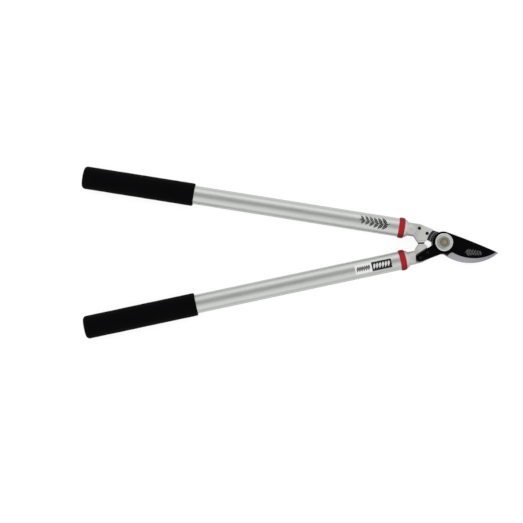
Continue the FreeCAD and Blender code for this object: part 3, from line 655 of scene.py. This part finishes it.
def moulded_collar(side, material):
    """A crowned ring over the tube's mouth, highest a little toward the grip, with rounded rims."""
    place = HANDLE[side]
    low, high = local_box("collar_" + side, place)
    tube_high = local_box("tube_" + side, place)[1]
    bore_y, bore_z = tube_high.y + COLLAR_PLAY * MM, tube_high.z + COLLAR_PLAY * MM
    lip = COLLAR_LIP * MM
    crown_x = low.x + COLLAR_CROWN * (high.x - low.x)
    ovals = [oval(high.x, bore_y, bore_z), oval(low.x, bore_y, bore_z)]
    for k in range(2 * COLLAR_STEPS + 1):
        turn = math.pi * k / (2 * COLLAR_STEPS)
        reach = crown_x - low.x if turn < math.pi / 2.0 else high.x - crown_x
        x = crown_x - math.copysign(abs(math.cos(turn)) ** COLLAR_FULLNESS, math.cos(turn)) * reach
        rise = max(0.0, math.sin(turn)) ** COLLAR_FULLNESS
        radius_y = bore_y + lip + rise * (high.y - bore_y - lip)
        ovals.append(oval(x, radius_y, bore_z + lip + rise * (high.z - bore_z - lip)))
    vertices, faces = skin_over(ovals, place, joined=True)
    made = make_object("moulded_collar_" + side, vertices, faces, material)
    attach(made, BODY[side])
    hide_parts("collar_" + side)


# The casting is rebuilt from cells of this size, then smoothed this many times.
CASTING_CELL = 0.42
CASTING_SMOOTHINGS = 5


def soft_casting(side, material):
    """The socket with the small fillets that a die casting has on every edge."""
    mesh = NODES["socket_" + side].data.copy()
    mesh.name = "casting_" + side
    made = bpy.data.objects.new("casting_" + side, mesh)
    bpy.context.scene.collection.objects.link(made)
    remesh = made.modifiers.new("remesh", "REMESH")
    remesh.mode = "VOXEL"
    remesh.voxel_size = CASTING_CELL * MM
    remesh.use_smooth_shade = True
    soften = made.modifiers.new("soften", "SMOOTH")
    soften.factor = 0.5
    soften.iterations = CASTING_SMOOTHINGS
    graph = bpy.context.evaluated_depsgraph_get()
    settled = bpy.data.meshes.new_from_object(made.evaluated_get(graph), depsgraph=graph)
    made.modifiers.clear()
    made.data = settled
    settled.materials.clear()
    settled.materials.append(material)
    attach(made, BODY[side])
    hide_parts("socket_" + side)


# ---------------------------------------------------------------------------
# Printed marks: a leafy sprig and a two-tone label, both without any lettering
# ---------------------------------------------------------------------------

def slab(grid, place, thickness):
    """Vertices and faces of a thin closed sheet over a grid of flat points (mm)."""
    rows, columns = len(grid), len(grid[0])
    layers = [[place(u, v, lift) for row in grid for u, v in row] for lift in (0.0, thickness)]
    vertices = layers[0] + layers[1]
    shift = rows * columns
    faces = []
    for row in range(rows - 1):
        for column in range(columns - 1):
            corner = row * columns + column
            quad = (corner, corner + 1, corner + columns + 1, corner + columns)
            faces.append(quad[::-1])
            faces.append(tuple(index + shift for index in quad))
    border = list(range(columns))
    border += [row * columns + columns - 1 for row in range(1, rows)]
    border += [(rows - 1) * columns + column for column in range(columns - 2, -1, -1)]
    border += [row * columns for row in range(rows - 2, 0, -1)]
    for first, second in zip(border, border[1:] + border[:1]):
        faces.append((first, second, second + shift, first + shift))
    return vertices, faces


# One half of a leaf: its rows from root to point, its columns from rib to edge, and half its rib's width.
LEAF_ROWS = 12
LEAF_COLUMNS = 3
LEAF_RIB = 0.16
# How soon the rib widens, the least width of all, and the power that puts the belly nearer the root.
RIB_SPREAD = 6.0
LEAF_LEAST = 0.02
LEAF_BELLY = 0.8


def half_leaf(root, angle, length, width, side):
    """Grid of one half of a leaf, from its rib out to its edge."""
    along = Vector((math.cos(angle), math.sin(angle)))
    out = Vector((-along.y, along.x)) * side
    grid = []
    for row in range(LEAF_ROWS + 1):
        part = row / LEAF_ROWS
        belly = math.sin(math.pi * part ** LEAF_BELLY)
        centre = Vector(root) + along * length * part
        rib = LEAF_RIB * min(1.0, RIB_SPREAD * part * (1.0 - part)) + LEAF_LEAST
        reach = rib + 0.5 * width * belly
        grid.append([tuple(centre + out * (rib + (reach - rib) * column / LEAF_COLUMNS))
                     for column in range(LEAF_COLUMNS + 1)])
    return grid


def leaf(root, angle, length, width):
    """Grids of a leaf's two halves, with a gap between them for the rib."""
    return [half_leaf(root, angle, length, width, side) for side in (1.0, -1.0)]


# A sprig's stem: rows along it, its share of the length, and its wave, width and taper as shares.
STEM_ROWS = 40
STEM_SHARE = 0.86
STEM_WAVE = 0.05
STEM_STROKE = 0.045
STEM_TAPER = 0.6
# A sprig's leaves: pairs, where the first pair stands and how far the last is from it, how much further
# along the second leaf of a pair starts, and their lean, length, taper and width.
SPRIG_PAIRS = 6
FIRST_PAIR = 0.07
PAIRS_REACH = 0.74
PAIR_STAGGER = 0.03
LEAF_LEAN = math.radians(50.0)
LEAF_LENGTH = 0.60
LEAF_TAPER = 0.32
LEAF_WIDTH = 0.36
# The leaf at a sprig's tip, as shares of the sprig's length.
TIP_LENGTH = 0.14
TIP_WIDTH = 0.05


def sprig(length, height):
    """Grids of a wavy stem with leaves on both sides, centred on the origin."""
    def stem_at(part):
        return Vector((length * (part - 0.5), STEM_WAVE * height * math.sin(2.0 * math.pi * part)))

    stem = []
    for row in range(STEM_ROWS + 1):
        part = row / STEM_ROWS * STEM_SHARE
        slim = STEM_STROKE * height * (1.0 - STEM_TAPER * part)
        point = stem_at(part)
        stem.append([(point.x, point.y + slim * offset) for offset in (-0.5, 0.0, 0.5)])
    grids = [stem]
    for number in range(SPRIG_PAIRS):
        share = number / (SPRIG_PAIRS - 1)
        part = FIRST_PAIR + PAIRS_REACH * share
        size = LEAF_LENGTH * height * (1.0 - LEAF_TAPER * share)
        grids += leaf(stem_at(part), LEAF_LEAN, size, LEAF_WIDTH * size)
        grids += leaf(stem_at(part + PAIR_STAGGER), -LEAF_LEAN, size, LEAF_WIDTH * size)
    grids += leaf(stem_at(STEM_SHARE), 0.0, TIP_LENGTH * length, TIP_WIDTH * length)
    return grids


# Steps in a quarter of a tube's outline, and how far a mark floats off a tube and off the blade.
ARC_STEPS = 400
TUBE_GAP = 0.005
BLADE_GAP = 0.002


def on_tube(side, centre_u, centre_v):
    """Gives a function that lays flat points round a tube's upper face without stretching them."""
    high = local_box("tube_" + side, HANDLE[side])[1]
    half_y, half_z = high.y / MM, high.z / MM
    lengths = [0.0]
    for step in range(ARC_STEPS):
        turn = 0.5 * math.pi * (step + 0.5) / ARC_STEPS
        piece = math.hypot(half_y * math.cos(turn), half_z * math.sin(turn))
        lengths.append(lengths[-1] + piece * 0.5 * math.pi / ARC_STEPS)

    def place(u, v, lift):
        across = v + centre_v
        step = next(k for k in range(ARC_STEPS) if lengths[k + 1] >= abs(across))
        share = (abs(across) - lengths[step]) / (lengths[step + 1] - lengths[step])
        turn = math.copysign(0.5 * math.pi * (step + share) / ARC_STEPS, across)
        point = Vector((u + centre_u, half_y * math.sin(turn), half_z * math.cos(turn)))
        outward = oval_outward(point, half_y, half_z)
        return HANDLE[side] @ ((point + outward * (lift + TUBE_GAP)) * MM)

    return place


def on_blade(centre_x, centre_y, turn):
    """Gives a function that lays flat points on the blade's upper face."""
    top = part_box("blade")[1].z
    cosine, sine = math.cos(turn), math.sin(turn)

    def place(u, v, lift):
        x = centre_x + u * cosine - v * sine
        y = centre_y + u * sine + v * cosine
        return Vector((PIVOT.x + x * MM, PIVOT.y + y * MM, top + (lift + BLADE_GAP) * MM))

    return place


def printed(name, grids, place, thickness, material, body):
    """One mark, as a piece made of thin sheets."""
    vertices, faces = [], []
    for grid in grids:
        points, quads = slab(grid, place, thickness)
        first = len(vertices)
        vertices += points
        faces += [tuple(index + first for index in quad) for quad in quads]
    made = make_object(name, vertices, faces, material, smooth=False)
    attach(made, body)


# The label's cells, along the tube and round it.
LABEL_CELL_LENGTH = 3.0
LABEL_CELL_WIDTH = 1.5


def rectangle(start, end, half_height):
    """Grid of a rectangle fine enough to follow a tube."""
    rows = round((end - start) / LABEL_CELL_LENGTH)
    columns = round(2.0 * half_height / LABEL_CELL_WIDTH)
    return [[(start + (end - start) * row / rows, half_height * (2.0 * column / columns - 1.0))
             for column in range(columns + 1)] for row in range(rows + 1)]


def ink(name, colour, roughness):
    """Ink or vinyl with a very fine grain."""
    made = Recipe(name, colour, roughness, Specular_IOR_Level=0.3)
    grain = made.noise(3.0, detail=3.0)
    made.vary(grain, 0.92, 1.05)
    made.gloss(made.span(grain, 0.3, 0.7, roughness * 0.85, roughness * 1.15))
    made.emboss(grain, 0.004)
    return made.material


# Thickness of printed ink, of the label's vinyl and of an etched mark.
INK = 0.03
VINYL = 0.10
ETCH = 0.01
# Sizes of the sprigs, and their middles: along the handle and across it, or from the pivot on the blade.
TUBE_SPRIG_SIZE = (48.0, 21.0)
TUBE_SPRIG_PLACE = (110.6, -0.9)
BLADE_SPRIG_SIZE = (27.0, 11.6)
BLADE_SPRIG_PLACE = (45.7, -16.7)
BLADE_SPRIG_TURN = math.radians(-1.6)
# The label along its handle: its start, the border of its two halves, and its end. Then across.
LABEL_START, LABEL_BORDER, LABEL_END = 86.2, 117.3, 143.4
LABEL_HALF_HEIGHT = 7.1
LABEL_ACROSS = 1.0
# The leaves on each half: how many, the bare margins before the first root and after the last,
# the roots' height, and their lean, length and width.
LABEL_LEAVES = 6
MARGIN_BEFORE = 3.4
MARGIN_AFTER = 5.2
LABEL_LEAF_ROOT = -4.5
LABEL_LEAF_LEAN = math.radians(74.0)
LABEL_LEAF_LENGTH, LABEL_LEAF_WIDTH = 9.2, 2.9


def leaf_row(start, end):
    """Grids of a row of leaves on one half of the label."""
    grids = []
    for number in range(LABEL_LEAVES):
        reach = (end - start - (MARGIN_BEFORE + MARGIN_AFTER)) * number / (LABEL_LEAVES - 1)
        root = (start + MARGIN_BEFORE + reach, LABEL_LEAF_ROOT)
        grids += leaf(root, LABEL_LEAF_LEAN, LABEL_LEAF_LENGTH, LABEL_LEAF_WIDTH)
    return grids


def label():
    """A black and a white half, each with a row of leaves in the other's colour."""
    black = ink("vinyl_black", (0.008, 0.008, 0.009), 0.35)
    white = ink("vinyl_white", (0.92, 0.92, 0.92), 0.35)
    centre = 0.5 * (LABEL_START + LABEL_END)
    flat = on_tube("lower", centre, LABEL_ACROSS)

    def raised(u, v, lift):
        return flat(u, v, lift + VINYL)

    start, border, end = LABEL_START - centre, LABEL_BORDER - centre, LABEL_END - centre
    for name, first, last, tint in (("label_dark", start, border, black), ("label_pale", border, end, white)):
        printed(name, [rectangle(first, last, LABEL_HALF_HEIGHT)], flat, VINYL, tint,
                "blade_handle")
    for name, first, last, tint in (("label_leaves_pale", start, border, white),
                                    ("label_leaves_dark", border, end, black)):
        printed(name, leaf_row(first, last), raised, INK, tint, "blade_handle")


def marks():
    """The sprig on the upper tube, the label on the lower one, and the sprig on the blade."""
    black = ink("ink_black", (0.010, 0.010, 0.011), 0.45)
    etched = ink("etched_grey", (0.10, 0.098, 0.088), 0.5)
    printed("sprig_upper", sprig(*TUBE_SPRIG_SIZE), on_tube("upper", *TUBE_SPRIG_PLACE), INK, black,
            "hook_handle")
    label()
    printed("sprig_blade", sprig(*BLADE_SPRIG_SIZE), on_blade(*BLADE_SPRIG_PLACE, BLADE_SPRIG_TURN), ETCH,
            etched, "blade_handle")


# ---------------------------------------------------------------------------
# Stage
# ---------------------------------------------------------------------------

# The floor's side in metres, its cells along a side, and how strongly it glows.
FLOOR_SIZE = 40.0
FLOOR_CELLS = 24
FLOOR_GLOW = 0.86


def floor():
    """A white floor, bright enough that shadows on it stay faint."""
    size, cells = FLOOR_SIZE, FLOOR_CELLS
    vertices, faces = [], []
    for row in range(cells + 1):
        for column in range(cells + 1):
            vertices.append((size * (column / cells - 0.5), size * (row / cells - 0.5), 0.0))
    for row in range(cells):
        for column in range(cells):
            corner = row * (cells + 1) + column
            faces.append((corner, corner + 1, corner + cells + 2, corner + cells + 1))
    made = Recipe("floor_white", (0.22, 0.22, 0.22), 0.9, Specular_IOR_Level=0.05)
    made.vary(made.noise(0.004), 0.99, 1.01)
    made.shader.inputs["Emission Color"].default_value = (1.0, 1.0, 1.0, 1.0)
    made.shader.inputs["Emission Strength"].default_value = FLOOR_GLOW
    ground = make_object("floor", vertices, faces, made.material, smooth=False)


# The room's darkest direction leans this far from overhead, toward +Y.
ROOM_TILT = math.radians(6.5)
ROOM_STRENGTH = 1.3
# The room's brightness, by the cosine of the angle from that direction.
ROOM_SHADES = ((0.0, 0.52), (0.30, 0.58), (0.62, 0.72), (0.84, 0.78), (0.93, 0.60), (0.985, 0.32),
               (1.0, 0.27))


def world():
    """A white room, darker straight overhead where the camera hangs."""
    made = bpy.data.worlds.new("studio")
    bpy.context.scene.world = made
    made.use_nodes = True
    tree = made.node_tree
    coords = tree.nodes.new("ShaderNodeTexCoord")
    toward = tree.nodes.new("ShaderNodeVectorMath")
    toward.operation = "DOT_PRODUCT"
    toward.inputs[1].default_value = (0.0, math.sin(ROOM_TILT), math.cos(ROOM_TILT))
    tree.links.new(coords.outputs["Generated"], toward.inputs[0])
    ramp = tree.nodes.new("ShaderNodeValToRGB")
    tree.links.new(toward.outputs["Value"], ramp.inputs[0])
    elements = ramp.color_ramp.elements
    while len(elements) < len(ROOM_SHADES):
        elements.new(0.5)
    for element, (where, shade) in zip(elements, ROOM_SHADES):
        element.position = where
        element.color = (shade, shade, shade, 1.0)
    background = tree.nodes["Background"]
    background.inputs["Strength"].default_value = ROOM_STRENGTH
    tree.links.new(ramp.outputs["Color"], background.inputs["Color"])


def softbox(name, place, size, power):
    """A rectangular lamp turned toward the origin, with its power in watts."""
    data = bpy.data.lights.new(name, "AREA")
    data.shape = "RECTANGLE"
    data.size, data.size_y = size
    data.energy = power
    made = bpy.data.objects.new(name, data)
    made.location = place
    made.rotation_euler = (-Vector(place)).to_track_quat("-Z", "Y").to_euler()
    bpy.context.scene.collection.objects.link(made)


# The camera's place in metres and its turn, fitted to the photograph's view from above.
CAMERA_PLACE = (-0.052335, -0.172430, 1.578324)
CAMERA_TURN = (0.0961007, -0.0025094, -0.0257397)
CAMERA_LENS = 70.0


def camera():
    """The camera over the tool."""
    data = bpy.data.cameras.new("camera")
    data.lens = CAMERA_LENS
    data.sensor_width = 36.0
    data.clip_start, data.clip_end = 0.05, 30.0
    made = bpy.data.objects.new("camera", data)
    made.location = CAMERA_PLACE
    made.rotation_euler = Euler(CAMERA_TURN, "XYZ")
    bpy.context.scene.collection.objects.link(made)
    bpy.context.scene.camera = made


def studio():
    """Floor, room, lamps and camera."""
    floor()
    world()
    softbox("key", (0.4, 1.2, 1.3), (1.8, 0.8), 1.2)
    softbox("fill", (-0.3, -1.3, 1.1), (1.8, 0.8), 0.8)
    camera()
    bpy.context.scene.view_settings.view_transform = "Standard"


materials = dress_frame()
for side in SIDES:
    foam_grip(side, materials["foam"])
    moulded_collar(side, materials["red"])
    soft_casting(side, materials["cast"])
marks()
studio()
